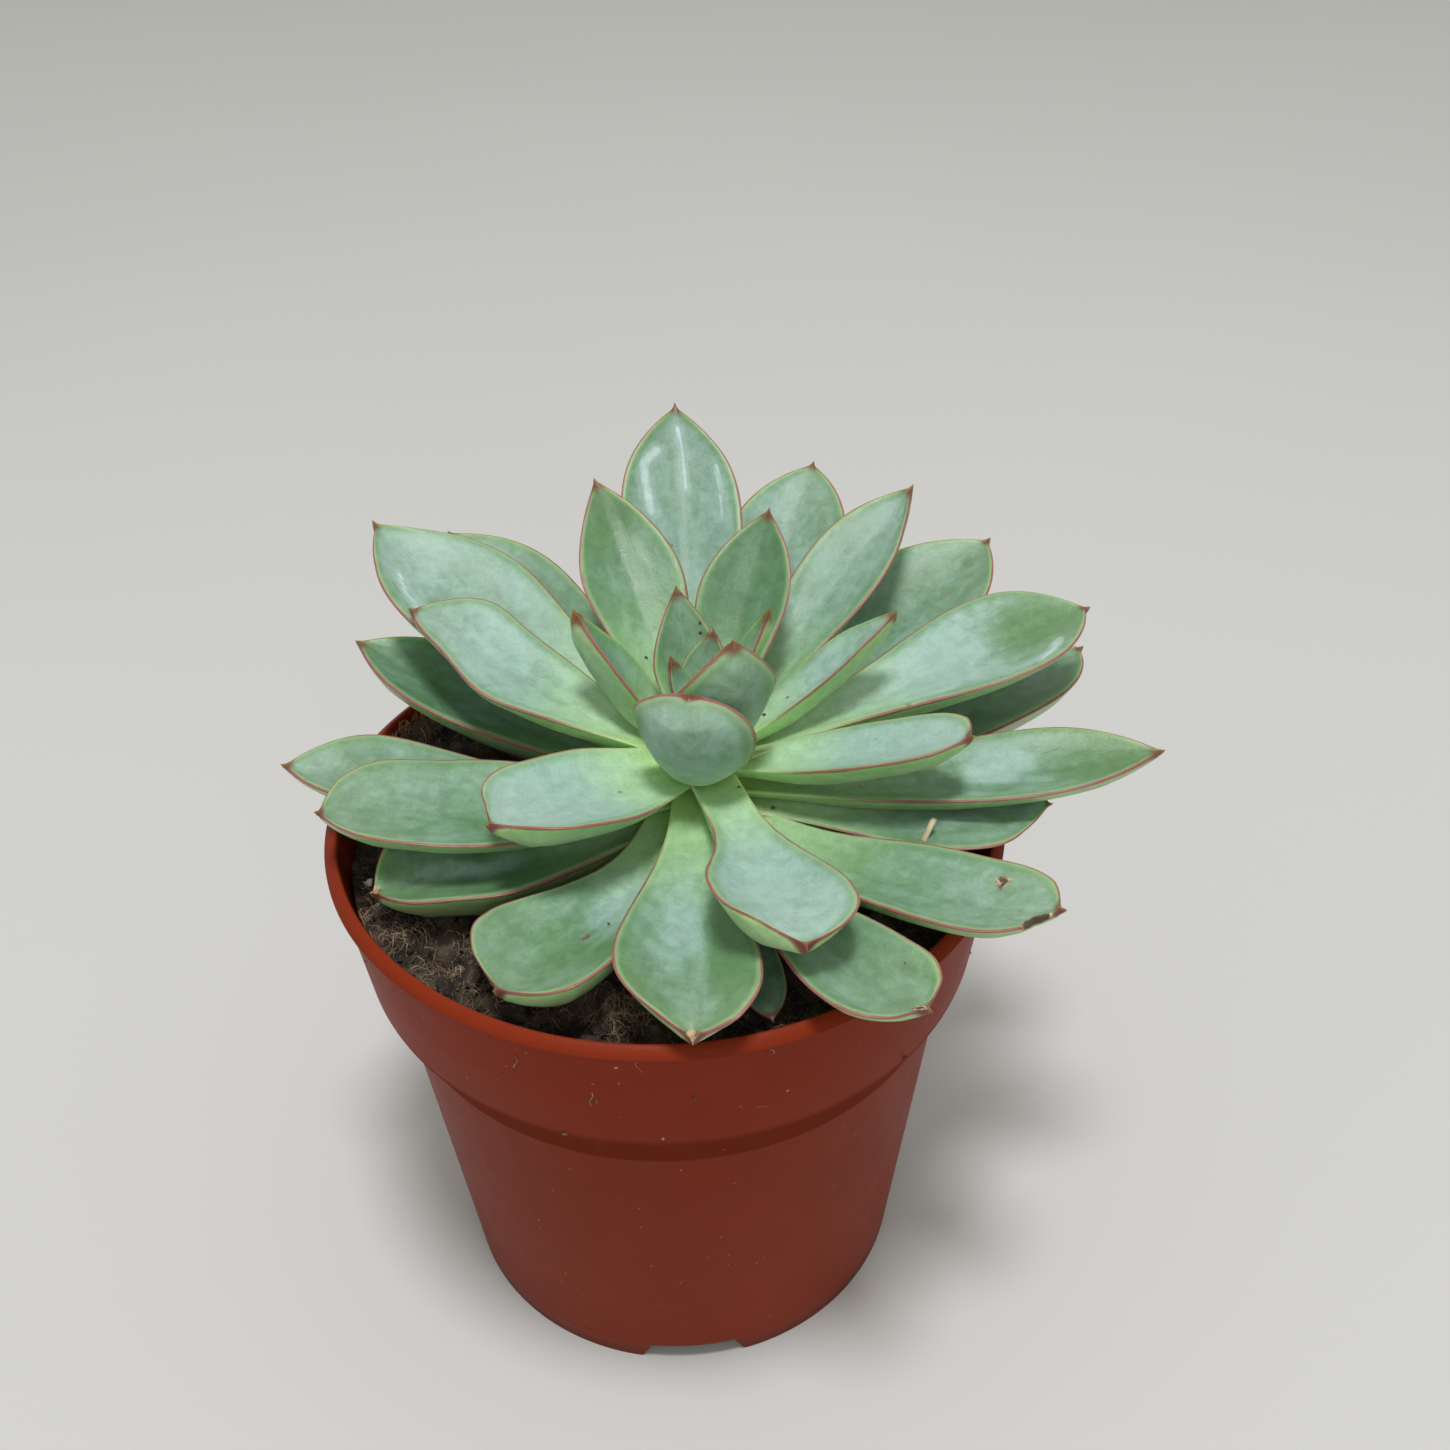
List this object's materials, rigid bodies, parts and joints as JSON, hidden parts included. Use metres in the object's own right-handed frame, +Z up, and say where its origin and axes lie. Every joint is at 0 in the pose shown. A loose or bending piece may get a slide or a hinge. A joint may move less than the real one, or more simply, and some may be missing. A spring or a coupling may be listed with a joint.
{
  "type": "potted succulent",
  "caption": "Echeveria rosette of thick pointed blue-green leaves with thin red edges, standing in a round terracotta-coloured plastic nursery pot filled with dark peat.",
  "frame": {"origin": "middle of the part's outline seen from above, on the surface that the pot stands on; the pot's own axis is 8.4 mm to the left of it and 1.2 mm towards the viewer", "axes": "+Z up, +Y away from the viewer and the shortest extent, +X to the viewer's right"},
  "size_m": [0.1321, 0.1116, 0.1316],
  "materials": {
    "pot_plastic": "satin",
    "peat": "matte",
    "heart_leaf": "satin",
    "young_leaf": "satin",
    "leaf": "satin",
    "old_leaf": "satin"
  },
  "bodies": {
    "root": {"pot": "pot_plastic", "peat": "peat", "stem_with_heart": "heart_leaf", "leaf_01": "young_leaf", "leaf_02": "young_leaf", "leaf_03": "young_leaf", "leaf_04": "young_leaf", "leaf_05": "young_leaf", "leaf_06": "young_leaf", "leaf_07": "leaf", "leaf_08": "leaf", "leaf_09": "leaf", "leaf_10": "leaf", "leaf_11": "leaf", "leaf_12": "leaf", "leaf_13": "leaf", "leaf_14": "leaf", "leaf_15": "leaf", "leaf_16": "leaf", "leaf_17": "leaf", "leaf_18": "leaf", "leaf_19": "leaf", "leaf_20": "leaf", "leaf_21": "leaf", "leaf_22": "old_leaf", "leaf_23": "old_leaf", "leaf_24": "old_leaf", "leaf_25": "old_leaf", "leaf_26": "old_leaf", "leaf_27": "old_leaf", "leaf_28": "old_leaf", "leaf_29": "old_leaf", "leaf_30": "old_leaf", "leaf_31": "old_leaf", "leaf_32": "old_leaf"}
  },
  "joints": []
}
